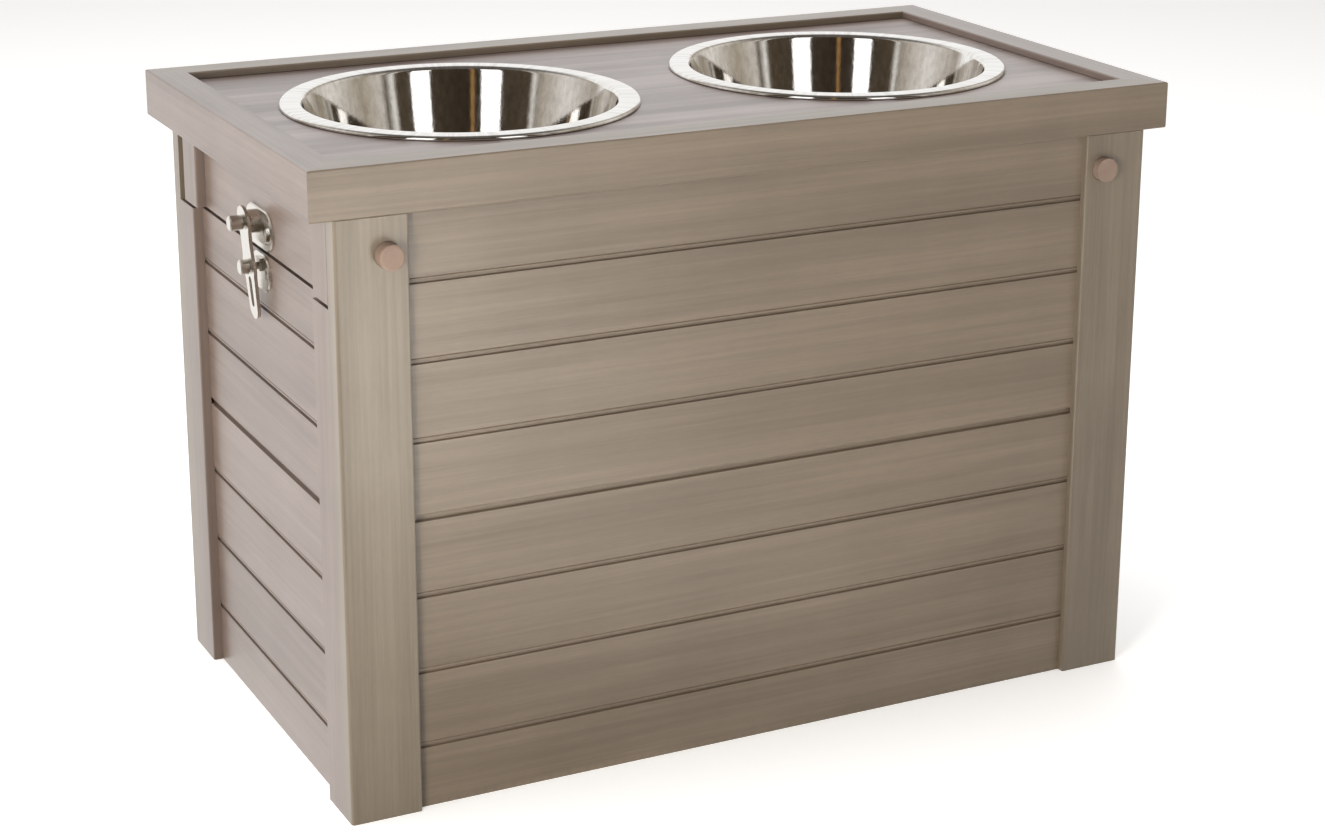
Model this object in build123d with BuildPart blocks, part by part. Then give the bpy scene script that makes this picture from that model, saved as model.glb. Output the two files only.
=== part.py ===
from build123d import *
import os
from math import cos, radians, tan

# Elevated dog feeder with storage, in millimetres.
# +X runs to the right along the length, +Y to the rear, +Z up.
# The origin lies on the floor under the middle of the cabinet.

# ---------------------------------------------------------------- overall form
overall_height = 414.0
rail_height = 31.0
side_overhang = 15.5
front_overhang = 2.0
cheek_height = 54.2
lid_seam_gap = 2.4
seat_gap = 0.5

# ---------------------------------------------------------------- bowls
rim_diameter = 232.4
rim_width = 14.4
bowl_gap = 46.6
bowl_end_margin = 21.3
bowl_side_margin = 23.8
bowl_depth = 68.0
bowl_taper = 15.8
steel_thickness = 1.0
rim_drop = 2.4
rim_roll = 1.3
mouth_radius = 3.5
bowl_base_radius = 14.0
bowl_hole_clearance = 2.6

# ---------------------------------------------------------------- boards
plank_pitch = 49.7
bottom_plank = 40.8
planks_per_board = 4
front_board_thickness = 8.5
side_board_thickness = 10.0
stile_width = 46.0
stile_thickness = 13.5
strip_width = 28.3
strip_thickness = 6.5
cheek_strip_width = 26.5
cheek_end_gap = 5.75
cheek_set_forward = 5.25
arris = 1.2
stile_arris = 2.0

# ---------------------------------------------------------------- plank seams
groove_width = 1.6
groove_depth = 2.0
groove_flare = 0.4
bead_width = 1.8
bead_setback = 0.1
quirk_width = 0.6
quirk_depth = 0.8
joint_gap = 3.8
joint_shoulder_drop = 1.2
tongue_thickness = 3.2
tongue_height = 7.3
tongue_setback = 3.2
tongue_clearance = 0.2

# ---------------------------------------------------------------- lid frame
rail_width = 23.0
top_recess = 5.0
top_thickness = 8.0
top_edge_hold = 7.0
top_edge_clearance = 0.3
cleat_bowl_gap = 5.1
cleat_end_gap = 2.0
block_width = 18.0
block_height = 18.0
block_length = 40.0
block_spacing = 130.0
key_thickness = 3.0
key_length = 18.0
key_margin = 1.8
key_clearance = 0.1

# ---------------------------------------------------------------- inner framing
batten_width = 32.0
batten_depth = 22.0
floor_height = 12.0
floor_thickness = 8.0
floor_clearance = 0.5
floor_cleat_width = 12.0

# ---------------------------------------------------------------- locking pegs
peg_drop = 23.7
peg_diameter = 16.0
peg_length = 36.0
left_peg_reach = 9.5
right_peg_reach = 5.5
peg_chamfer = 0.7
peg_clearance = 0.2
peg_board_gap = 0.5

# ---------------------------------------------------------------- side latches
latch_y = -6.0
plate_length = 52.0
plate_height = 26.0
plate_thickness = 1.8
plate_chamfer = 0.8
plate_seam_margin = 0.6
field_length = 46.0
field_height = 16.0
field_rise = 2.0
field_taper = 25.0
keeper_length = 37.0
keeper_height = 24.0
hub_diameter = 15.0
hub_reach = 8.6
hub_round = 0.8
stud_rise = 4.4
stud_diameter = 6.0
stud_embed = 5.0
stud_clearance = 0.1
stud_head_length = 8.5
arm_lean = 5.0
arm_gap = 0.3
arm_thickness = 2.2
eye_diameter = 21.0
arm_waist = 16.4
grip_width = 21.0
grip_drop = 29.0
tail_width = 18.4
tail_tip_width = 15.6
tail_drop = 63.5
slot_width = 5.6
slot_length = 20.0
slot_tip_margin = 8.0
knob_diameter = 9.6
knob_chamfer = 0.7
grip_knob_length = 5.6
grip_pin_diameter = 5.0
grip_pin_clearance = 0.05
pin_end_gap = 0.4
catch_thickness = 2.6
catch_clearance = 0.5
catch_arm_gap = 0.4
catch_rear_reach = 3.0

# ---------------------------------------------------------------- screws
plate_screw_spacing = 37.0
keeper_screw_spacing = 25.0
latch_screw_diameter = 3.0
latch_screw_length = 9.0
latch_screw_head = 6.2
latch_screw_dome = 0.8
batten_screw_diameter = 3.6
batten_screw_cover = 4.5
batten_screw_head = 7.4
batten_screw_dome = 0.0
batten_screw_heights = (60.0, 150.0, 225.0, 300.0)
screw_clearance = 0.1
bore_run_out = 1.0

# ---------------------------------------------------------------- worked out
lid_length = 2 * (rail_width + bowl_end_margin + rim_diameter) + bowl_gap
lid_depth = 2 * (rail_width + bowl_side_margin) + rim_diameter
bowl_x = (rim_diameter + bowl_gap) / 2
mouth_diameter = rim_diameter - 2 * rim_width
bowl_base_diameter = mouth_diameter - 2 * bowl_taper
bowl_hole_diameter = mouth_diameter + 2 * (steel_thickness + bowl_hole_clearance)
lid_bottom = overall_height - rail_height
wall_top = lid_bottom - seat_gap
cheek_bottom = lid_bottom - cheek_height
side_top = cheek_bottom - lid_seam_gap
body_x = lid_length / 2 - side_overhang
body_y = lid_depth / 2 - front_overhang
stile_back = body_y - stile_thickness
front_face = stile_back + front_board_thickness
side_face = body_x - strip_thickness
side_back = side_face - side_board_thickness
joint_height = bottom_plank + (planks_per_board - 1) * plank_pitch
cheek_front = -stile_back + cheek_end_gap - cheek_set_forward
cheek_rear = stile_back - cheek_end_gap - cheek_set_forward
rail_inner_x = lid_length / 2 - rail_width
rail_inner_y = lid_depth / 2 - rail_width
top_face = overall_height - top_recess
top_under = top_face - top_thickness
key_width = 2 * (rail_width / 2 - key_margin) * 2**0.5 - key_length
rim_top = top_face + seat_gap + rim_drop
cleat_inner_x = bowl_x + bowl_hole_diameter / 2 + cleat_bowl_gap
batten_screw_length = batten_depth + stile_thickness - batten_screw_cover
peg_x = side_back - batten_width / 2
peg_z = lid_bottom - peg_drop
board_end_x = peg_x - peg_diameter / 2 - peg_clearance - peg_board_gap
plate_z = cheek_bottom + plate_seam_margin + plate_height / 2
keeper_z = side_top - plate_seam_margin - keeper_height / 2
plate_face = side_face + plate_thickness
field_face = plate_face + field_rise
stud_z = plate_z + stud_rise
grip_z = stud_z - grip_drop
tail_tip_z = stud_z - tail_drop
lean = tan(radians(arm_lean))
arm_back = side_face + hub_reach + arm_gap + lean * hub_diameter / 2
arm_face = arm_back + arm_thickness / cos(radians(arm_lean))
stud_head = arm_face + lean * knob_diameter / 2 + arm_gap
grip_head = arm_face - lean * (grip_drop - knob_diameter / 2)
catch_low_z = grip_z - grip_pin_diameter / 2
catch_face = arm_back - lean * tail_drop - catch_arm_gap

SIDES = {"left": -1, "right": 1}
ENDS = {"front": -1, "rear": 1}
CORNERS = [(end, side) for end in ENDS for side in SIDES]

os.makedirs("parts", exist_ok=True)


# ---------------------------------------------------------------- helpers
def save(piece, name):
    """Label a finished piece and write it as its own file."""
    piece.part.label = name
    export_step(piece.part, f"parts/{name}.step")


def span(x0, x1, y0, y1, mode=Mode.ADD):
    """Rectangle between two corners of the sketch being drawn."""
    with Locations(((x0 + x1) / 2, (y0 + y1) / 2)):
        Rectangle(abs(x1 - x0), abs(y1 - y0), mode=mode)


def round_corner(sketch, x, y, radius):
    """Round the sketch's corner nearest to a point."""
    fillet(sketch.vertices().sort_by_distance((x, y, 0))[0], radius)


def across_wall(outward):
    """Plane across a wall: its x points outward and its y points up."""
    return Plane(origin=(0, 0, 0), x_dir=outward, z_dir=Vector(outward).cross(Vector(0, 0, 1)))


def facing_side(sign, reach, y=latch_y, z=0.0):
    """Plane that faces outward on one side, at a distance from the cabinet's middle."""
    return Plane(origin=(sign * reach, y, z), x_dir=(0, sign, 0), z_dir=(sign, 0, 0))


def latch_screw_planes(sign, reach, height, spacing):
    """Where the two screws of a latch plate or a keeper enter a side."""
    return [facing_side(sign, reach, latch_y + offset, height) for offset in (-spacing / 2, spacing / 2)]


def facing_end(sign, x, reach, z):
    """Plane that faces outward at the front or the rear."""
    return Plane(origin=(x, sign * reach, z), x_dir=(-sign, 0, 0), z_dir=(0, sign, 0))


def countersunk_screw(diameter, length, head, dome):
    """Screw along -Z whose head is flush with Z = 0, but for its dome."""
    cone = (head - diameter) / 2
    with BuildPart() as screw:
        with BuildSketch(Plane.XZ):
            with BuildLine():
                if dome > 0:
                    ThreePointArc((0, dome), (head * 0.27, dome * 0.72), (head / 2, 0))
                else:
                    Line((0, 0), (head / 2, 0))
                Polyline(
                    (head / 2, 0),
                    (diameter / 2, -cone),
                    (diameter / 2, -length + diameter),
                    (0, -length),
                    (0, max(dome, 0.0)),
                )
            make_face()
        revolve(axis=Axis.Z)
    return screw.part


def screw_bores(planes, diameter, length, head):
    """Countersunk holes for those screws, from each plane into the part being built."""
    with Locations(*planes):
        CounterSinkHole(
            radius=diameter / 2 + screw_clearance,
            counter_sink_radius=head / 2 + screw_clearance,
            depth=length + bore_run_out,
        )


def pilot_bores(planes, diameter, depth):
    """Plain round holes from each plane into the part being built."""
    with Locations(*planes):
        Hole(radius=diameter / 2 + screw_clearance, depth=depth)


# ---------------------------------------------------------------- walls
def cut_plank_seam(face, height):
    """Quirk, bead and groove that make one board look like two planks."""
    low = height - groove_width / 2
    high = height + groove_width / 2
    bead_top = high + bead_width
    quirk_top = bead_top + quirk_width
    with BuildLine() as outline:
        Polyline((face, quirk_top), (face - quirk_depth, quirk_top), (face - quirk_depth, bead_top))
        ThreePointArc(
            (face - quirk_depth, bead_top),
            (face - bead_setback, high + bead_width / 2),
            (face - quirk_depth, high),
        )
        Polyline(
            (face - quirk_depth, high),
            (face - groove_depth, high),
            (face - groove_depth, low),
            (face, low - groove_flare),
            (face + groove_depth, low - groove_flare),
            (face + groove_depth, quirk_top),
            (face, quirk_top),
        )
    make_face(outline.edges(), mode=Mode.SUBTRACT)


def wall_board(outward, face, thickness, length, level, high, bores=()):
    """One board of a wall, with its plank seams and the bores for the latch screws."""
    low_limit = 0.0 if level == "lower" else joint_height + joint_gap
    high_limit = joint_height - joint_gap if level == "lower" else high - joint_gap
    steps = int((high - bottom_plank) / plank_pitch) + 1
    seams = [bottom_plank + step * plank_pitch for step in range(steps)]
    back = face - thickness
    shoulder = joint_height - joint_shoulder_drop
    upper_edge = shoulder + joint_gap
    tongue_out = face - tongue_setback
    tongue_in = tongue_out - tongue_thickness
    tongue_top = shoulder + tongue_height
    with BuildPart() as board:
        with BuildSketch(across_wall(outward)) as section:
            if level == "lower":
                span(back, face, 0, shoulder)
                round_corner(section, face, shoulder, groove_flare)
                span(tongue_in, tongue_out, shoulder, tongue_top)
            else:
                span(back, face, upper_edge, high)
                round_corner(section, face, upper_edge, arris)
                span(
                    tongue_in - tongue_clearance,
                    tongue_out + tongue_clearance,
                    upper_edge,
                    tongue_top + tongue_clearance,
                    mode=Mode.SUBTRACT,
                )
            for seam in seams:
                if low_limit < seam < high_limit:
                    cut_plank_seam(face, seam)
        extrude(amount=length / 2, both=True)
        if bores:
            pilot_bores(bores, latch_screw_diameter, latch_screw_length)
    return board


for end, sign in ENDS.items():
    for level in ("lower", "upper"):
        board = wall_board(
            (0, sign, 0), front_face, front_board_thickness, 2 * board_end_x, level, wall_top
        )
        save(board, f"{end}_{level}_board")

for side, sign in SIDES.items():
    keeper_bores = latch_screw_planes(sign, side_face, keeper_z, keeper_screw_spacing)
    for level in ("lower", "upper"):
        bores = keeper_bores if level == "upper" else ()
        board = wall_board(
            (sign, 0, 0), side_face, side_board_thickness, 2 * stile_back, level, side_top, bores
        )
        save(board, f"{side}_{level}_board")


# ---------------------------------------------------------------- corner posts
def peg_plane(end_sign, side_sign):
    """Where a locking peg enters its stile."""
    return facing_end(end_sign, side_sign * peg_x, body_y, peg_z)


def peg_bore(end_sign, side_sign):
    """Bore for a locking peg, from its stile's face into the part being built."""
    with Locations(peg_plane(end_sign, side_sign)):
        Hole(
            radius=peg_diameter / 2 + peg_clearance,
            depth=peg_length - min(left_peg_reach, right_peg_reach) + bore_run_out,
        )


def batten_screw_planes(end_sign, side_sign):
    """Where the screws enter a batten, on its inner face."""
    return [
        Plane(
            origin=(side_sign * peg_x, end_sign * (stile_back - batten_depth), z),
            z_dir=(0, -end_sign, 0),
        )
        for z in batten_screw_heights
    ]


for end, side in CORNERS:
    ey, sx = ENDS[end], SIDES[side]
    inner_x = body_x - stile_width

    with BuildPart() as stile:
        with BuildSketch() as section:
            span(sx * inner_x, sx * body_x, ey * stile_back, ey * body_y)
            round_corner(section, sx * body_x, ey * body_y, stile_arris)
            round_corner(section, sx * inner_x, ey * body_y, arris)
            span(
                sx * inner_x,
                sx * board_end_x,
                ey * stile_back,
                ey * front_face,
                mode=Mode.SUBTRACT,
            )
        extrude(amount=wall_top)
        peg_bore(ey, sx)
        screw_reach = batten_screw_length + bore_run_out
        pilot_bores(batten_screw_planes(ey, sx), batten_screw_diameter, screw_reach)
    save(stile, f"{end}_{side}_stile")

    with BuildPart() as batten:
        with BuildSketch() as section:
            inner_y = stile_back - batten_depth
            span(sx * (side_back - batten_width), sx * side_back, ey * inner_y, ey * stile_back)
            round_corner(section, sx * (side_back - batten_width), ey * inner_y, arris)
        extrude(amount=wall_top)
        peg_bore(ey, sx)
        screw_bores(
            batten_screw_planes(ey, sx), batten_screw_diameter, batten_screw_length, batten_screw_head
        )
    save(batten, f"{end}_{side}_batten")

    with BuildPart() as strip:
        with BuildSketch() as section:
            span(sx * side_face, sx * body_x, ey * (stile_back - strip_width), ey * stile_back)
            round_corner(section, sx * body_x, ey * (stile_back - strip_width), arris)
        extrude(amount=side_top)
    save(strip, f"{end}_{side}_strip")

batten_screw = countersunk_screw(
    batten_screw_diameter, batten_screw_length, batten_screw_head, batten_screw_dome
)
with BuildPart() as batten_screws:
    for end, side in CORNERS:
        with Locations(*batten_screw_planes(ENDS[end], SIDES[side])):
            add(batten_screw)
save(batten_screws, "batten_screws")

with BuildPart() as locking_pegs:
    for end, side in CORNERS:
        entry = peg_plane(ENDS[end], SIDES[side])
        reach = left_peg_reach if side == "left" else right_peg_reach
        with BuildSketch(entry.offset(reach)):
            Circle(peg_diameter / 2)
        extrude(amount=-peg_length)
        outer_face = locking_pegs.faces().sort_by(Axis(entry.origin, entry.z_dir))[-1]
        chamfer(outer_face.edges(), peg_chamfer)
save(locking_pegs, "locking_pegs")


# ---------------------------------------------------------------- storage floor
with BuildPart() as floor_panel:
    with BuildSketch(Plane.XY.offset(floor_height)):
        edge_x = side_back - floor_clearance
        edge_y = stile_back - floor_clearance
        Rectangle(2 * edge_x, 2 * edge_y)
        for end, side in CORNERS:
            ey, sx = ENDS[end], SIDES[side]
            span(
                sx * (side_back - batten_width - floor_clearance),
                sx * (side_back + floor_clearance),
                ey * (stile_back - batten_depth - floor_clearance),
                ey * (stile_back + floor_clearance),
                mode=Mode.SUBTRACT,
            )
    extrude(amount=floor_thickness)
save(floor_panel, "floor_panel")

with BuildPart() as floor_cleats:
    with BuildSketch():
        cleat_x = side_back - batten_width - floor_clearance
        cleat_y = stile_back - batten_depth - floor_clearance
        for sign in ENDS.values():
            span(-cleat_x, cleat_x, sign * stile_back, sign * (stile_back - floor_cleat_width))
        for sign in SIDES.values():
            span(sign * side_back, sign * (side_back - floor_cleat_width), -cleat_y, cleat_y)
    extrude(amount=floor_height)
save(floor_cleats, "floor_cleats")


# ---------------------------------------------------------------- lid frame
def key_planes():
    """Level planes at the middle of the four mitres, turned along the mitre."""
    mid_x = lid_length / 2 - rail_width / 2
    mid_y = lid_depth / 2 - rail_width / 2
    height = (lid_bottom + top_under - key_thickness) / 2
    planes = []
    for end, side in CORNERS:
        ey, sx = ENDS[end], SIDES[side]
        planes.append(
            Plane(origin=(sx * mid_x, ey * mid_y, height), x_dir=(sx, -ey, 0), z_dir=(0, 0, 1))
        )
    return planes


def lid_rail(corners, along):
    """Mitred rail over its four plan corners, grooved for the top panel and the corner keys."""
    with BuildPart() as rail:
        with BuildSketch(Plane.XY.offset(lid_bottom)):
            with BuildLine():
                Polyline(*corners, close=True)
            make_face()
        extrude(amount=rail_height)
        long_edges = rail.edges().filter_by(along).group_by(Axis.Z)
        outer_edge = long_edges[0].sort_by(lambda edge: -abs(edge.center().X) - abs(edge.center().Y))[0]
        fillet(long_edges[-1] + [outer_edge], arris)
        with BuildSketch(Plane.XY.offset(top_under)):
            Rectangle(2 * (rail_inner_x + top_edge_hold), 2 * (rail_inner_y + top_edge_hold))
        extrude(amount=top_thickness + top_edge_clearance, mode=Mode.SUBTRACT)
        for plane in key_planes():
            with BuildSketch(plane):
                Rectangle(key_length + 2 * key_clearance, key_width + 2 * key_clearance)
            extrude(amount=key_thickness + key_clearance, mode=Mode.SUBTRACT)
    return rail


half_x, half_y = lid_length / 2, lid_depth / 2
for end, sign in ENDS.items():
    plan = [
        (-half_x, sign * half_y),
        (half_x, sign * half_y),
        (rail_inner_x, sign * rail_inner_y),
        (-rail_inner_x, sign * rail_inner_y),
    ]
    save(lid_rail(plan, Axis.X), f"{end}_rail")
for side, sign in SIDES.items():
    plan = [
        (sign * half_x, -half_y),
        (sign * half_x, half_y),
        (sign * rail_inner_x, rail_inner_y),
        (sign * rail_inner_x, -rail_inner_y),
    ]
    save(lid_rail(plan, Axis.Y), f"{side}_rail")

with BuildPart() as corner_keys:
    for plane in key_planes():
        with BuildSketch(plane):
            Rectangle(key_length, key_width)
        extrude(amount=key_thickness)
save(corner_keys, "corner_keys")

bowl_centres = [(sign * bowl_x, 0) for sign in SIDES.values()]
with BuildPart() as top_panel:
    with BuildSketch(Plane.XY.offset(top_under)):
        edge_x = rail_inner_x + top_edge_hold - top_edge_clearance
        edge_y = rail_inner_y + top_edge_hold - top_edge_clearance
        Rectangle(2 * edge_x, 2 * edge_y)
        with Locations(*bowl_centres):
            Circle(bowl_hole_diameter / 2, mode=Mode.SUBTRACT)
    extrude(amount=top_thickness)
save(top_panel, "top_panel")

for side, sign in SIDES.items():
    with BuildPart() as lid_cleat:
        with BuildSketch(Plane.XY.offset(lid_bottom)):
            reach_y = rail_inner_y - cleat_end_gap
            span(sign * cleat_inner_x, sign * rail_inner_x, -reach_y, reach_y)
        extrude(amount=top_under - lid_bottom)
    save(lid_cleat, f"{side}_lid_cleat")

    with BuildPart() as cheek:
        with BuildSketch(Plane.XY.offset(cheek_bottom)):
            span(sign * side_back, sign * side_face, cheek_front, cheek_rear)
        extrude(amount=cheek_height)
        plate_bores = latch_screw_planes(sign, side_face, plate_z, plate_screw_spacing)
        pilot_bores(plate_bores, latch_screw_diameter, latch_screw_length)
    save(cheek, f"{side}_cheek")

    for end, outer_y, inward in (("front", cheek_front, 1), ("rear", cheek_rear, -1)):
        with BuildPart() as cheek_strip:
            with BuildSketch(Plane.XY.offset(cheek_bottom)) as section:
                inner_y = outer_y + inward * cheek_strip_width
                span(sign * side_face, sign * body_x, outer_y, inner_y)
                round_corner(section, sign * body_x, inner_y, arris)
            extrude(amount=cheek_height)
        save(cheek_strip, f"{end}_{side}_cheek_strip")

with BuildPart() as glue_blocks:
    with BuildSketch(Plane.XY.offset(lid_bottom - block_height)):
        for sign in SIDES.values():
            with Locations((sign * (side_back - block_width / 2), 0)):
                with GridLocations(0, block_spacing, 1, 2):
                    Rectangle(block_width, block_length)
    extrude(amount=block_height)
save(glue_blocks, "glue_blocks")


# ---------------------------------------------------------------- bowls
def bowl(centre_x):
    """Spun steel bowl with a flat rolled rim, hung by the rim in the top panel."""
    mouth = mouth_diameter / 2
    base = bowl_base_diameter / 2
    rim = rim_diameter / 2
    inside_floor = -bowl_depth + steel_thickness
    lean = (mouth - base) / -inside_floor
    wall = steel_thickness * (1 + lean * lean) ** 0.5
    with BuildPart() as dish:
        with BuildSketch(Plane.XZ) as profile:
            with BuildLine():
                Polyline(
                    (0, inside_floor),
                    (base, inside_floor),
                    (mouth, 0),
                    (rim, 0),
                    (rim, -rim_drop),
                    (rim - steel_thickness, -rim_drop),
                    (rim - steel_thickness, -steel_thickness),
                    (mouth + wall - lean * steel_thickness, -steel_thickness),
                    (base + wall - lean * steel_thickness, -bowl_depth),
                    (0, -bowl_depth),
                    close=True,
                )
            make_face()
            round_corner(profile, base, inside_floor, bowl_base_radius)
            round_corner(profile, base + wall, -bowl_depth, bowl_base_radius + steel_thickness)
            round_corner(profile, mouth, 0, mouth_radius)
            round_corner(profile, mouth + wall, -steel_thickness, mouth_radius - steel_thickness)
            round_corner(profile, rim, 0, rim_roll)
        revolve(axis=Axis.Z)
    with BuildPart() as placed:
        with Locations((centre_x, 0, rim_top)):
            add(dish.part)
    return placed


for side, sign in SIDES.items():
    save(bowl(sign * bowl_x), f"{side}_bowl")


# ---------------------------------------------------------------- side latches
def outer_rim(piece, sign):
    """Edges round the outermost flat face of a piece on one side."""
    return piece.faces().filter_by(Axis.X).sort_by(Axis.X)[0 if sign < 0 else -1].edges()


latch_screw = countersunk_screw(
    latch_screw_diameter, latch_screw_length, latch_screw_head, latch_screw_dome
)

for side, sign in SIDES.items():
    with BuildPart() as latch_plate:
        with BuildSketch(facing_side(sign, side_face)):
            with Locations((0, plate_z)):
                SlotOverall(plate_length, plate_height)
        extrude(amount=plate_thickness)
        chamfer(outer_rim(latch_plate, sign), plate_chamfer)
        with BuildSketch(facing_side(sign, plate_face)):
            with Locations((0, plate_z)):
                SlotOverall(field_length, field_height)
        extrude(amount=field_rise, taper=field_taper)
        with BuildSketch(facing_side(sign, side_face)):
            with Locations((0, stud_z)):
                Circle(hub_diameter / 2)
        extrude(amount=hub_reach)
        fillet(outer_rim(latch_plate, sign), hub_round)
        with Locations(facing_side(sign, side_face + hub_reach, latch_y, stud_z)):
            Hole(radius=stud_diameter / 2 + grip_pin_clearance, depth=stud_embed)
        screw_bores(
            latch_screw_planes(sign, field_face, plate_z, plate_screw_spacing),
            latch_screw_diameter,
            latch_screw_length,
            latch_screw_head,
        )
    save(latch_plate, f"{side}_latch_plate")

    with BuildPart() as keeper:
        with BuildSketch(facing_side(sign, side_face)):
            with Locations((0, keeper_z)):
                SlotOverall(keeper_length, keeper_height)
        extrude(amount=plate_thickness)
        chamfer(outer_rim(keeper, sign), plate_chamfer)
        pin_reach = grip_pin_diameter / 2 + catch_clearance
        with BuildSketch(facing_side(sign, plate_face)):
            span(
                -sign * (pin_reach + catch_thickness),
                sign * catch_rear_reach,
                grip_z + pin_reach,
                grip_z + pin_reach + catch_thickness,
            )
            span(
                -sign * (pin_reach + catch_thickness),
                -sign * pin_reach,
                catch_low_z,
                grip_z + pin_reach + catch_thickness,
            )
        extrude(amount=catch_face - plate_face)
        screw_bores(
            latch_screw_planes(sign, plate_face, keeper_z, keeper_screw_spacing),
            latch_screw_diameter,
            latch_screw_length,
            latch_screw_head,
        )
    save(keeper, f"{side}_latch_keeper")

    with BuildPart() as stud:
        stud_start = side_face + hub_reach - stud_embed
        with BuildSketch(facing_side(sign, stud_start)):
            with Locations((0, stud_z)):
                Circle(stud_diameter / 2)
        extrude(amount=stud_head - stud_start)
        with BuildSketch(facing_side(sign, stud_head)):
            with Locations((0, stud_z)):
                Circle(knob_diameter / 2)
        extrude(amount=stud_head_length)
        chamfer(outer_rim(stud, sign), knob_chamfer)
    save(stud, f"{side}_latch_stud")

    with BuildPart() as knob:
        pin_start = plate_face + pin_end_gap
        with BuildSketch(facing_side(sign, pin_start)):
            with Locations((0, grip_z)):
                Circle(grip_pin_diameter / 2)
        extrude(amount=grip_head - pin_start)
        with BuildSketch(facing_side(sign, grip_head)):
            with Locations((0, grip_z)):
                Circle(knob_diameter / 2)
        extrude(amount=grip_knob_length)
        chamfer(outer_rim(knob, sign), knob_chamfer)
    save(knob, f"{side}_latch_knob")

    with BuildPart() as arm:
        tip_centre = tail_tip_z + tail_tip_width / 2
        tail_top = grip_z - grip_width / 4
        neck_top = stud_z - eye_diameter / 4
        neck_low = grip_z + grip_width / 4
        neck_half = eye_diameter * 3**0.5 / 4
        grip_half = grip_width * 3**0.5 / 4
        waist_z = (neck_top + neck_low) / 2
        with BuildSketch(facing_side(sign, side_face)):
            with Locations((0, stud_z)):
                Circle(eye_diameter / 2)
            with Locations((0, grip_z)):
                Circle(grip_width / 2)
            with BuildLine():
                Line((-neck_half, neck_top), (neck_half, neck_top))
                ThreePointArc(
                    (neck_half, neck_top), (arm_waist / 2, waist_z), (grip_half, neck_low)
                )
                Line((grip_half, neck_low), (-grip_half, neck_low))
                ThreePointArc(
                    (-grip_half, neck_low), (-arm_waist / 2, waist_z), (-neck_half, neck_top)
                )
            make_face()
            with BuildLine():
                Polyline(
                    (-tail_tip_width / 2, tip_centre),
                    (-tail_width / 2, tail_top),
                    (tail_width / 2, tail_top),
                    (tail_tip_width / 2, tip_centre),
                )
                ThreePointArc(
                    (tail_tip_width / 2, tip_centre),
                    (0, tail_tip_z),
                    (-tail_tip_width / 2, tip_centre),
                )
            make_face()
        extrude(amount=arm_face + lean * eye_diameter - side_face)
        above = eye_diameter
        below = tail_drop + eye_diameter
        with BuildSketch(Plane(origin=(0, latch_y, stud_z), x_dir=(sign, 0, 0), z_dir=(0, -sign, 0))):
            with BuildLine():
                Polyline(
                    (arm_face + lean * above, above),
                    (arm_face - lean * below, -below),
                    (arm_back - lean * below, -below),
                    (arm_back + lean * above, above),
                    close=True,
                )
            make_face()
        extrude(amount=eye_diameter, both=True, mode=Mode.INTERSECT)
        with Locations(facing_side(sign, stud_head, latch_y, stud_z)):
            Hole(radius=stud_diameter / 2 + stud_clearance, depth=stud_head - side_face)
        with Locations(facing_side(sign, stud_head, latch_y, grip_z)):
            Hole(radius=grip_pin_diameter / 2 + grip_pin_clearance, depth=stud_head - side_face)
        with BuildSketch(facing_side(sign, stud_head)):
            with Locations((0, tail_tip_z + slot_tip_margin + slot_length / 2)):
                SlotOverall(slot_length, slot_width, rotation=90)
        extrude(amount=side_face - stud_head, mode=Mode.SUBTRACT)
    save(arm, f"{side}_latch_arm")

for name, reach, height, spacing in (
    ("plate", field_face, plate_z, plate_screw_spacing),
    ("keeper", plate_face, keeper_z, keeper_screw_spacing),
):
    with BuildPart() as latch_screws:
        for sign in SIDES.values():
            with Locations(*latch_screw_planes(sign, reach, height, spacing)):
                add(latch_screw)
    save(latch_screws, f"{name}_screws")
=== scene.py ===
import math

import bmesh
import bpy
from mathutils import Euler, Matrix, Vector


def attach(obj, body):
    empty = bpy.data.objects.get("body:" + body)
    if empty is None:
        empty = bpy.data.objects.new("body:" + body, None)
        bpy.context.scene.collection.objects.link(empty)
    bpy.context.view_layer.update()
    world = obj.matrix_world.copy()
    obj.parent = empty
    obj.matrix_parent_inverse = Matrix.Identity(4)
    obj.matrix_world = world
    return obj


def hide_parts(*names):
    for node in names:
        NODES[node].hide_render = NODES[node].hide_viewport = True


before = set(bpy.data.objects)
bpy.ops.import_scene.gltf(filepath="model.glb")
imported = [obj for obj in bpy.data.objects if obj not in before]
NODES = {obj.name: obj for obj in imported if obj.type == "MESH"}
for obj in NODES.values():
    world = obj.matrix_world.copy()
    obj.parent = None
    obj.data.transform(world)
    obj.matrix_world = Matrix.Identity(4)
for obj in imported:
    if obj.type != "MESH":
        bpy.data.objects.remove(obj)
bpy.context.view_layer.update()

# ------------------------------------------------------------------ named values, in metres and degrees
SIDES = {"left": -1, "right": 1}

# From a fit to the outline of the object in the photograph, with the vertical shift held at -0.08
# so that the other views keep the object in their frame, and with the lens then set 1.1 % longer.
CAMERA_PLACE = (-0.7847, -1.5989, 0.7744)
CAMERA_AZIMUTH = -27.580
CAMERA_ELEVATION = 16.388
CAMERA_ROLL = 0.527
CAMERA_LENS = 73.710
CAMERA_SENSOR = 36.0
CAMERA_SHIFT = (-0.0434, -0.0800)
CAMERA_CLIP = (0.05, 100.0)

# Bowls: sheet steel, with a flat rim whose edge is rolled down
RIM_DIAMETER = 0.2324
MOUTH_DIAMETER = 0.2036
BASE_DIAMETER = 0.172
BOWL_X = 0.1395
RIM_TOP = 0.4119
BOWL_DEPTH = 0.068
STEEL = 0.001
RIM_DROP = 0.0024
RIM_ROLL = 0.0022
MOUTH_RADIUS = 0.0035
BASE_RADIUS = 0.014

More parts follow.
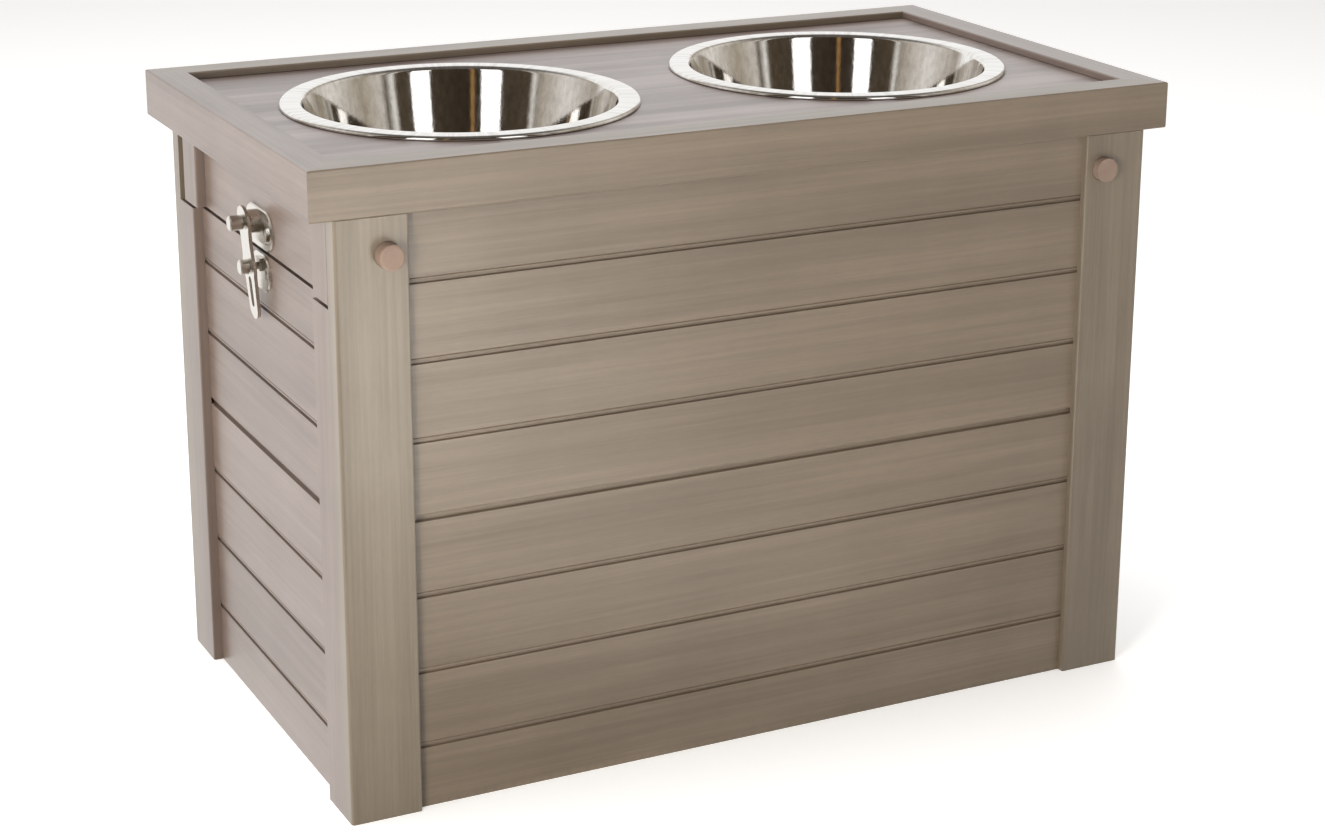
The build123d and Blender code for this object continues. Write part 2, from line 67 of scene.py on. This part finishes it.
# How finely a bowl is turned, from where an edge on it is sharp, and when a point is on the axis
BOWL_TURNS = 256
CREASE_ANGLE = 35
ON_AXIS = 1e-7

# Softened edges of the CAD pieces
WOOD_EDGE = 0.0007
LATCH_EDGE = 0.0003
BEVEL_ANGLE = 40


# ------------------------------------------------------------------ node helpers
class Nodes:
    """Short way to build one node material."""

    def __init__(self, name):
        self.material = bpy.data.materials.new(name)
        self.material.use_nodes = True
        self.tree = self.material.node_tree
        self.shader = self.tree.nodes["Principled BSDF"]
        self.coords = self.new("ShaderNodeTexCoord").outputs["Object"]

    def new(self, kind, **settings):
        node = self.tree.nodes.new(kind)
        for key, value in settings.items():
            setattr(node, key, value)
        return node

    def link(self, source, target):
        self.tree.links.new(source, target)

    def put(self, node, **values):
        """Sets or links the node's sockets, by name or, as _0, _1 and so on, by number."""
        for key, value in values.items():
            socket = node.inputs[int(key[1:]) if key[0] == "_" else key.replace("_", " ")]
            if isinstance(value, bpy.types.NodeSocket):
                self.link(value, socket)
            else:
                socket.default_value = value
        return node

    def stretched(self, scale):
        """The piece's own coordinates, scaled."""
        node = self.put(self.new("ShaderNodeMapping"), Vector=self.coords)
        node.inputs["Scale"].default_value = scale
        return node.outputs["Vector"]

    def noise(self, vector, scale=1.0, detail=2.0, roughness=0.5, distortion=0.0):
        node = self.new("ShaderNodeTexNoise")
        self.put(node, Vector=vector, Scale=scale, Detail=detail, Roughness=roughness, Distortion=distortion)
        return node.outputs["Fac"]

    def ramp(self, fac, stops):
        node = self.put(self.new("ShaderNodeValToRGB"), Fac=fac)
        ramp = node.color_ramp
        while len(ramp.elements) < len(stops):
            ramp.elements.new(0.5)
        for element, (place, colour) in zip(ramp.elements, stops):
            element.position = place
            element.color = (*colour, 1.0)
        return node.outputs["Color"]

    def remap(self, value, low, high, to_low, to_high):
        node = self.new("ShaderNodeMapRange")
        self.put(node, _0=value, _1=low, _2=high, _3=to_low, _4=to_high)
        return node.outputs["Result"]

    def maths(self, operation, a, b=0.0, c=0.0):
        node = self.new("ShaderNodeMath", operation=operation)
        self.put(node, _0=a, _1=b, _2=c)
        return node.outputs["Value"]

    def bump(self, height, strength, distance, base=None):
        node = self.put(self.new("ShaderNodeBump"), Height=height, Strength=strength, Distance=distance)
        if base is not None:
            self.link(base, node.inputs["Normal"])
        return node.outputs["Normal"]


def srgb(r, g, b):
    """Linear colour of 8-bit values."""
    return tuple(
        v / 12.92 if v <= 0.04045 else ((v + 0.055) / 1.055) ** 2.4 for v in (r / 255, g / 255, b / 255)
    )


# ------------------------------------------------------------------ materials
def stretched_scale(along, across, length):
    """Scale that draws a noise out along one axis."""
    return tuple(length if axis == along else across for axis in "xyz")


# Noises that make up a board's grain: scale across it and along it, per metre
STREAKS = (330.0, 5.0)
FINE_STREAKS = (1100.0, 16.0)
FLECKS = (700.0, 95.0)
BANDS = (3.0, 26.0)
BROAD_FIGURE = (34.0, 2.6)

# Their shares in the grain; the broad figure's own share is the material's
STREAK_SHARE = 0.42
FINE_SHARE = 0.17
FLECK_SHARE = 0.16
BAND_SHARE = 0.12

# The grain's range from the dark colour to the light one; a share of the broad figure moves it up
GRAIN_START = 0.29
GRAIN_RISE = 0.5
GRAIN_SPAN = 0.3

GRAIN_RELIEF = {"strength": 0.22, "distance": 0.0004}
SKIN_WEIGHT = 0.8
SKIN_ROUGHNESS = 0.36
SKIN_SPECULAR = 0.9
DARK_ROUGHER = 0.05
LIGHT_SMOOTHER = 0.04

# Copies of one wood's colours, one for each way a face looks. The side and top colours are tinted pinker
# than the front ones. That tint is painted sheen, standing in for the pinkish light that the side and top
# faces catch. The stile colours keep the greener tint of the front, which the stiles face.
BOARD_LIGHT = srgb(118, 104, 88)
BOARD_DARK = srgb(98, 85, 70)
SIDE_PAINTED_SHEEN_LIGHT = srgb(117, 102, 93)
SIDE_PAINTED_SHEEN_DARK = srgb(99, 85, 77)
STILE_LIGHT = srgb(119, 108, 93)
STILE_DARK = srgb(99, 88, 74)
TOP_PAINTED_SHEEN_LIGHT = srgb(129, 113, 107)
TOP_PAINTED_SHEEN_DARK = srgb(91, 76, 72)
FRAMING_LIGHT = srgb(150, 134, 112)
FRAMING_DARK = srgb(128, 112, 92)


def composite(name, along, light, dark, figure=0.5, rough=0.4):
    """Moulded wood-polymer board: long fine streaks, a soft mottle and a satin skin."""
    m = Nodes(name)

    def drawn_out(scales, **settings):
        return m.noise(m.stretched(stretched_scale(along, *scales)), **settings)

    streaks = drawn_out(STREAKS, detail=3.0, roughness=0.6)
    fine = drawn_out(FINE_STREAKS, detail=2.0, roughness=0.6)
    broad = drawn_out(BROAD_FIGURE, detail=2.0, distortion=0.5)
    bands = drawn_out(BANDS, detail=2.0)
    flecks = drawn_out(FLECKS, detail=3.0, roughness=0.7)
    grain = m.maths("MULTIPLY_ADD", streaks, STREAK_SHARE, m.maths("MULTIPLY", fine, FINE_SHARE))
    grain = m.maths("MULTIPLY_ADD", flecks, FLECK_SHARE, grain)
    grain = m.maths("MULTIPLY_ADD", broad, figure, grain)
    grain = m.maths("MULTIPLY_ADD", bands, BAND_SHARE, grain)
    low = GRAIN_START + GRAIN_RISE * figure
    high = low + GRAIN_SPAN
    colour = m.ramp(m.remap(grain, low, high, 0.0, 1.0), [(0.0, dark), (1.0, light)])
    gloss = m.remap(grain, low, high, rough + DARK_ROUGHER, rough - LIGHT_SMOOTHER)
    m.link(colour, m.shader.inputs["Base Color"])
    m.link(gloss, m.shader.inputs["Roughness"])
    m.link(m.bump(grain, **GRAIN_RELIEF), m.shader.inputs["Normal"])
    m.put(m.shader, Specular_IOR_Level=SKIN_SPECULAR, Coat_Weight=SKIN_WEIGHT, Coat_Roughness=SKIN_ROUGHNESS)
    return m.material


# Scales of a plain surface's cloud and skin, per metre, and the range that a noise mostly keeps to
CLOUD_SCALE = 90
SKIN_SCALE = 1500
SKIN_RELIEF = {"strength": 0.08, "distance": 0.0001}
NOISE_MIDDLE = (0.3, 0.7)


def plain(name, colour, rough, metal=0.0, spread=0.06):
    """One colour with a faint cloud and a fine skin."""
    m = Nodes(name)
    m.put(m.shader, Metallic=metal)
    shade = m.noise(m.stretched((CLOUD_SCALE,) * 3), detail=3.0)
    skin = m.noise(m.stretched((SKIN_SCALE,) * 3), detail=2.0)
    light = tuple(min(c * (1 + spread), 1.0) for c in colour)
    dark = tuple(c * (1 - spread) for c in colour)
    tint = m.ramp(m.remap(shade, *NOISE_MIDDLE, 0, 1), [(0, dark), (1, light)])
    m.link(tint, m.shader.inputs["Base Color"])
    m.link(m.remap(shade, *NOISE_MIDDLE, rough * 0.85, rough * 1.2), m.shader.inputs["Roughness"])
    m.link(m.bump(skin, **SKIN_RELIEF), m.shader.inputs["Normal"])
    return m.material


# Spun steel: rings per metre of reach and height, and brush marks drawn round the axis
RING_SCALE = 1600.0
BRUSH_SCALE = 26.0
BRUSH_RISE = 5.0
BRUSH_SHARE = 0.6
RING_SHARE = 0.4
BRUSH_COLOURS = [(0.32, (0.66, 0.635, 0.60)), (0.6, (0.84, 0.82, 0.79))]
RING_RELIEF = {"strength": 0.06, "distance": 0.00005}
BRUSH_RELIEF = {"strength": 0.035, "distance": 0.0006}


def spun_steel(name, rough):
    """Polished steel with the marks of spinning and brushing, about the piece's own upright axis."""
    m = Nodes(name)
    m.put(m.shader, Metallic=1.0)
    parts = m.put(m.new("ShaderNodeSeparateXYZ"), Vector=m.coords)
    x, y, z = (parts.outputs[axis] for axis in "XYZ")
    reach = m.maths("SQRT", m.maths("MULTIPLY_ADD", x, x, m.maths("MULTIPLY", y, y)))
    ring = m.new("ShaderNodeCombineXYZ")
    m.put(ring, X=m.maths("MULTIPLY", reach, RING_SCALE), Y=m.maths("MULTIPLY", z, RING_SCALE))
    rings = m.noise(ring.outputs["Vector"], detail=2.0)
    around = m.new("ShaderNodeCombineXYZ")
    m.put(around, X=m.maths("DIVIDE", x, reach), Y=m.maths("DIVIDE", y, reach))
    m.put(around, Z=m.maths("MULTIPLY", z, BRUSH_RISE))
    drawn = m.noise(around.outputs["Vector"], scale=BRUSH_SCALE, detail=4.0, roughness=0.65)
    worn = m.maths("MULTIPLY_ADD", drawn, BRUSH_SHARE, m.maths("MULTIPLY", rings, RING_SHARE))
    m.link(m.ramp(drawn, BRUSH_COLOURS), m.shader.inputs["Base Color"])
    m.link(m.remap(worn, *NOISE_MIDDLE, rough * 0.7, rough * 2.0), m.shader.inputs["Roughness"])
    m.link(m.bump(rings, **RING_RELIEF, base=m.bump(drawn, **BRUSH_RELIEF)), m.shader.inputs["Normal"])
    return m.material


def assign(piece, material):
    piece.data.materials.clear()
    piece.data.materials.append(material)


def soften(node, width, segments=2):
    """Small bevel on the edges of a CAD piece, as a modifier."""
    bevel = NODES[node].modifiers.new("Bevel", "BEVEL")
    bevel.width = width
    bevel.segments = segments
    bevel.limit_method = "ANGLE"
    bevel.angle_limit = math.radians(BEVEL_ANGLE)
    bevel.harden_normals = True


BOARD_X = composite("board_along_x", "x", BOARD_LIGHT, BOARD_DARK)
# The side boards, the side strips and the top panel carry the pinker tint of painted sheen.
BOARD_Y = composite("board_along_y_painted_sheen", "y", SIDE_PAINTED_SHEEN_LIGHT, SIDE_PAINTED_SHEEN_DARK)
BOARD_Z = composite("board_along_z_painted_sheen", "z", SIDE_PAINTED_SHEEN_LIGHT, SIDE_PAINTED_SHEEN_DARK)
STILE = composite("stile_along_z", "z", STILE_LIGHT, STILE_DARK)
TOP_FIGURE = composite("top_figure_painted_sheen", "x", TOP_PAINTED_SHEEN_LIGHT, TOP_PAINTED_SHEEN_DARK, figure=0.9)
FRAMING = composite("framing_wood", "z", FRAMING_LIGHT, FRAMING_DARK, rough=0.55)
NICKEL = plain("latch_nickel", (0.84, 0.81, 0.75), 0.27, 1.0)
SCREW = plain("screw_steel", (0.62, 0.61, 0.60), 0.3, 1.0)
PEG = plain("peg_plastic", srgb(127, 108, 96), 0.55, spread=0.12)
BOWL_STEEL = spun_steel("bowl_steel", 0.05)

for node, piece in NODES.items():
    if node == "top_panel":
        assign(piece, TOP_FIGURE)
    elif "bowl" in node:
        assign(piece, BOWL_STEEL)
    elif node.endswith("screws"):
        assign(piece, SCREW)
    elif "latch" in node:
        assign(piece, NICKEL)
    elif node == "locking_pegs":
        assign(piece, PEG)
    elif "batten" in node or "cleat" in node or node in ("floor_panel", "glue_blocks", "corner_keys"):
        assign(piece, FRAMING)
    elif "stile" in node:
        assign(piece, STILE)
    elif node.endswith("strip"):
        assign(piece, BOARD_Z)
    elif node.startswith(("left_", "right_")):
        assign(piece, BOARD_Y)
    else:
        assign(piece, BOARD_X)

for node in NODES:
    if node.endswith(("_rail", "_stile", "_strip")) or "cheek" in node:
        soften(node, WOOD_EDGE)
    elif "latch" in node:
        soften(node, LATCH_EDGE)


# ------------------------------------------------------------------ bowls
def rounded(corners, steps=8):
    """Profile through corners (x, z, radius), with each corner rounded to its radius."""
    points = []
    for index, (x, z, radius) in enumerate(corners):
        here = Vector((x, z))
        if radius == 0:
            points.append(here)
            continue
        before = (Vector(corners[index - 1][:2]) - here).normalized()
        after = (Vector(corners[index + 1][:2]) - here).normalized()
        half = before.angle(after) / 2
        centre = here + (before + after).normalized() * radius / math.sin(half)
        start = here + before * radius / math.tan(half) - centre
        turn = start.angle_signed(here + after * radius / math.tan(half) - centre)
        for step in range(steps + 1):
            angle = -turn * step / steps
            points.append(centre + Matrix.Rotation(angle, 2) @ start)
    return points


def lathe(name, profile, turns=BOWL_TURNS):
    """Closed surface swept by a profile about its own upright axis."""
    work = bmesh.new()
    rings = []
    for point in profile:
        if point.x < ON_AXIS:
            rings.append([work.verts.new((0, 0, point.y))])
            continue
        ring = []
        for step in range(turns):
            angle = 2 * math.pi * step / turns
            ring.append(work.verts.new((point.x * math.cos(angle), point.x * math.sin(angle), point.y)))
        rings.append(ring)
    for low_ring, high_ring in zip(rings, rings[1:]):
        for step in range(turns):
            after = (step + 1) % turns
            if len(low_ring) == 1:
                corners = (low_ring[0], high_ring[after], high_ring[step])
            elif len(high_ring) == 1:
                corners = (low_ring[step], low_ring[after], high_ring[0])
            else:
                corners = (low_ring[step], low_ring[after], high_ring[after], high_ring[step])
            work.faces.new(corners)
    bmesh.ops.recalc_face_normals(work, faces=work.faces)
    mesh = bpy.data.meshes.new(name)
    work.to_mesh(mesh)
    work.free()
    mesh.shade_smooth()
    mesh.set_sharp_from_angle(angle=math.radians(CREASE_ANGLE))
    piece = bpy.data.objects.new(name, mesh)
    bpy.context.scene.collection.objects.link(piece)
    return piece


def bowl_profile():
    """Inside floor, wall, rim and outside of a bowl, from the axis round to the axis."""
    mouth, base, rim = MOUTH_DIAMETER / 2, BASE_DIAMETER / 2, RIM_DIAMETER / 2
    floor = STEEL - BOWL_DEPTH
    slope = (mouth - base) / -floor
    wall = STEEL * math.sqrt(1 + slope * slope)
    return rounded(
        [
            (0, floor, 0),
            (base, floor, BASE_RADIUS),
            (mouth, 0, MOUTH_RADIUS),
            (rim, 0, RIM_ROLL),
            (rim, -RIM_DROP, 0),
            (rim - STEEL, -RIM_DROP, 0),
            (rim - STEEL, -STEEL, 0),
            (mouth + wall - slope * STEEL, -STEEL, MOUTH_RADIUS - STEEL),
            (base + wall - slope * STEEL, -BOWL_DEPTH, BASE_RADIUS + STEEL),
            (0, -BOWL_DEPTH, 0),
        ]
    )


for side, sign in SIDES.items():
    spun = lathe(f"{side}_spun_bowl", bowl_profile())
    spun.location = (sign * BOWL_X, 0, RIM_TOP)
    assign(spun, BOWL_STEEL)
    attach(spun, f"{side}_bowl")
    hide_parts(f"{side}_bowl")


# ------------------------------------------------------------------ stage
FLOOR_SIZE = 40.0
FLOOR_COLOUR = (0.92, 0.92, 0.92, 1.0)
FLOOR_GLOW = 0.36


def stage_mesh(name, size, material):
    """Level square on the ground, round the origin."""
    mesh = bpy.data.meshes.new(name)
    half = size / 2
    corners = [(-half, -half, 0), (half, -half, 0), (half, half, 0), (-half, half, 0)]
    mesh.from_pydata(corners, [], [(0, 1, 2, 3)])
    mesh.materials.append(material)
    piece = bpy.data.objects.new(name, mesh)
    bpy.context.scene.collection.objects.link(piece)
    return piece


floor_look = Nodes("floor")
floor_look.put(floor_look.shader, Base_Color=FLOOR_COLOUR, Roughness=0.9, Specular_IOR_Level=0.1)
floor_look.put(floor_look.shader, Emission_Color=(1.0, 1.0, 1.0, 1.0), Emission_Strength=FLOOR_GLOW)
stage_mesh("floor", FLOOR_SIZE, floor_look.material).visible_glossy = False


WHITE = (1.0, 1.0, 1.0)
WARM = (1.0, 0.965, 0.89)
PINK = (1.0, 0.93, 0.97)


def area_light(name, place, aim, size, radiance, colour=WHITE, mirrored=True):
    """Soft box of that brightness, out of sight of the camera and, if not mirrored, of all gloss."""
    lamp = bpy.data.lights.new(name, "AREA")
    lamp.shape = "RECTANGLE"
    lamp.size, lamp.size_y = size
    lamp.energy = radiance * math.pi * size[0] * size[1]
    lamp.color = colour
    piece = bpy.data.objects.new(name, lamp)
    piece.location = place
    piece.rotation_mode = "QUATERNION"
    piece.rotation_quaternion = (Vector(aim) - Vector(place)).to_track_quat("-Z", "Y")
    piece.visible_camera = False
    piece.visible_glossy = mirrored
    bpy.context.scene.collection.objects.link(piece)


area_light("front_strip", place=(0.16, -1.65, 0.93), aim=(0.0, 0.0, 0.93), size=(0.46, 1.7), radiance=1.6)
area_light("left_strip", place=(-1.42, -1.20, 0.95), aim=(-0.1, 0.0, 0.95), size=(0.50, 1.6), radiance=1.8)
area_light(
    "left_key",
    place=(-1.42, -1.20, 0.45),
    aim=(-0.1, 0.0, 0.2),
    size=(0.50, 0.8),
    radiance=22.8,
    colour=WARM,
    mirrored=False,
)
area_light(
    "overhead", place=(0.0, 0.5, 2.6), aim=(0, 0.1, 0.2), size=(2.4, 2.0), radiance=3.46, mirrored=False
)

# Cards that lie on the floor and light the front from below: place along Y, radiance
FLOOR_CARDS = [(-0.42, 0.6), (-0.82, 4.0), (-1.02, 3.8), (-1.22, 10.7)]
CARD_X = 0.04
CARD_Z = 0.004
CARD_TILT = 0.001
CARD_SIZE = (0.34, 0.20)
for card, (reach, radiance) in enumerate(FLOOR_CARDS):
    aim = (CARD_X, reach + CARD_TILT, 1.0)
    area_light(f"floor_card_{card}", (CARD_X, reach, CARD_Z), aim, CARD_SIZE, radiance, WARM)

area_light(
    "left_fill",
    place=(-2.2, 0.45, 0.85),
    aim=(0.0, 0.0, 0.25),
    size=(1.6, 1.2),
    radiance=3.07,
    colour=PINK,
    mirrored=False,
)

# The room that the steel mirrors: degrees from the front round to the left, and colour
ROOM = [
    (-180, (1.06, 1.06, 1.06)),
    (-140, (1.04, 1.04, 1.04)),
    (-128, (0.42, 0.37, 0.31)),
    (-92, (0.80, 0.77, 0.73)),
    (-60, (0.40, 0.35, 0.28)),
    (-42, (0.62, 0.58, 0.53)),
    (-38, (0.10, 0.08, 0.06)),
    (-32, (0.90, 0.88, 0.84)),
    (-29, (0.08, 0.06, 0.04)),
    (30, (0.035, 0.026, 0.018)),
    (31.5, (0.60, 0.33, 0.12)),
    (33, (0.035, 0.026, 0.018)),
    (78, (0.08, 0.06, 0.04)),
    (81, (0.90, 0.88, 0.84)),
    (84, (0.30, 0.28, 0.25)),
    (88, (0.44, 0.39, 0.33)),
    (112, (0.80, 0.77, 0.74)),
    (142, (0.42, 0.37, 0.32)),
    (152, (1.04, 1.04, 1.04)),
    (180, (1.06, 1.06, 1.06)),
]

# Strength of the light from below, and the heights of a direction over which it falls to 1
GROUND_GLOW = 1.03
GROUND_HEIGHTS = (-0.25, 0.05)

# Heights of a direction over which the room gives way to the ceiling
CEILING_HEIGHTS = (0.55, 0.9)
CEILING_COLOUR = (0.13, 0.12, 0.11, 1.0)


def studio_world():
    """White behind, dim brown in front, both at the sides, a dim ceiling, and white to the camera."""
    world = bpy.data.worlds.new("studio")
    world.use_nodes = True
    tree = world.node_tree
    background = tree.nodes["Background"]
    parts = tree.nodes.new("ShaderNodeSeparateXYZ")
    tree.links.new(tree.nodes.new("ShaderNodeTexCoord").outputs["Generated"], parts.inputs[0])

    def maths(operation, *values):
        node = tree.nodes.new("ShaderNodeMath")
        node.operation = operation
        for index, value in enumerate(values):
            if isinstance(value, bpy.types.NodeSocket):
                tree.links.new(value, node.inputs[index])
            else:
                node.inputs[index].default_value = value
        return node.outputs[0]

    across = maths("MULTIPLY", parts.outputs["X"], -1.0)
    forward = maths("MULTIPLY", parts.outputs["Y"], -1.0)
    turn = maths("ARCTAN2", across, forward)
    ramp = tree.nodes.new("ShaderNodeValToRGB")
    tree.links.new(maths("MULTIPLY_ADD", turn, 0.5 / math.pi, 0.5), ramp.inputs["Fac"])
    while len(ramp.color_ramp.elements) < len(ROOM):
        ramp.color_ramp.elements.new(0.5)
    for element, (angle, colour) in zip(ramp.color_ramp.elements, ROOM):
        element.position = angle / 360 + 0.5
        element.color = (*colour, 1.0)
    ground = tree.nodes.new("ShaderNodeMapRange")
    ground.inputs[1].default_value, ground.inputs[2].default_value = GROUND_HEIGHTS
    ground.inputs[3].default_value, ground.inputs[4].default_value = GROUND_GLOW, 1.0
    tree.links.new(parts.outputs["Z"], ground.inputs[0])
    tree.links.new(ground.outputs[0], background.inputs["Strength"])
    ceiling = tree.nodes.new("ShaderNodeMix")
    ceiling.data_type = "RGBA"
    height = tree.nodes.new("ShaderNodeMapRange")
    height.inputs[1].default_value, height.inputs[2].default_value = CEILING_HEIGHTS
    tree.links.new(parts.outputs["Z"], height.inputs[0])
    tree.links.new(height.outputs[0], ceiling.inputs[0])
    tree.links.new(ramp.outputs["Color"], ceiling.inputs[6])
    ceiling.inputs[7].default_value = CEILING_COLOUR
    tree.links.new(ceiling.outputs[2], background.inputs["Color"])
    white = tree.nodes.new("ShaderNodeBackground")
    white.inputs["Color"].default_value = (1.0, 1.0, 1.0, 1.0)
    choice = tree.nodes.new("ShaderNodeMixShader")
    tree.links.new(tree.nodes.new("ShaderNodeLightPath").outputs["Is Camera Ray"], choice.inputs[0])
    tree.links.new(background.outputs[0], choice.inputs[1])
    tree.links.new(white.outputs[0], choice.inputs[2])
    tree.links.new(choice.outputs[0], tree.nodes["World Output"].inputs["Surface"])
    return world


bpy.context.scene.world = studio_world()
bpy.context.scene.view_settings.view_transform = "Standard"

# ------------------------------------------------------------------ camera
lens = bpy.data.cameras.new("camera")
lens.lens = CAMERA_LENS
lens.sensor_width = CAMERA_SENSOR
lens.sensor_fit = "HORIZONTAL"
lens.shift_x, lens.shift_y = CAMERA_SHIFT
lens.clip_start, lens.clip_end = CAMERA_CLIP
camera = bpy.data.objects.new("camera", lens)
tilt = math.radians(90 - CAMERA_ELEVATION)
turn = Euler((tilt, 0, math.radians(CAMERA_AZIMUTH)), "XYZ").to_matrix().to_4x4()
roll = Matrix.Rotation(math.radians(CAMERA_ROLL), 4, "Z")
camera.matrix_world = Matrix.Translation(CAMERA_PLACE) @ turn @ roll
bpy.context.scene.collection.objects.link(camera)
bpy.context.scene.camera = camera
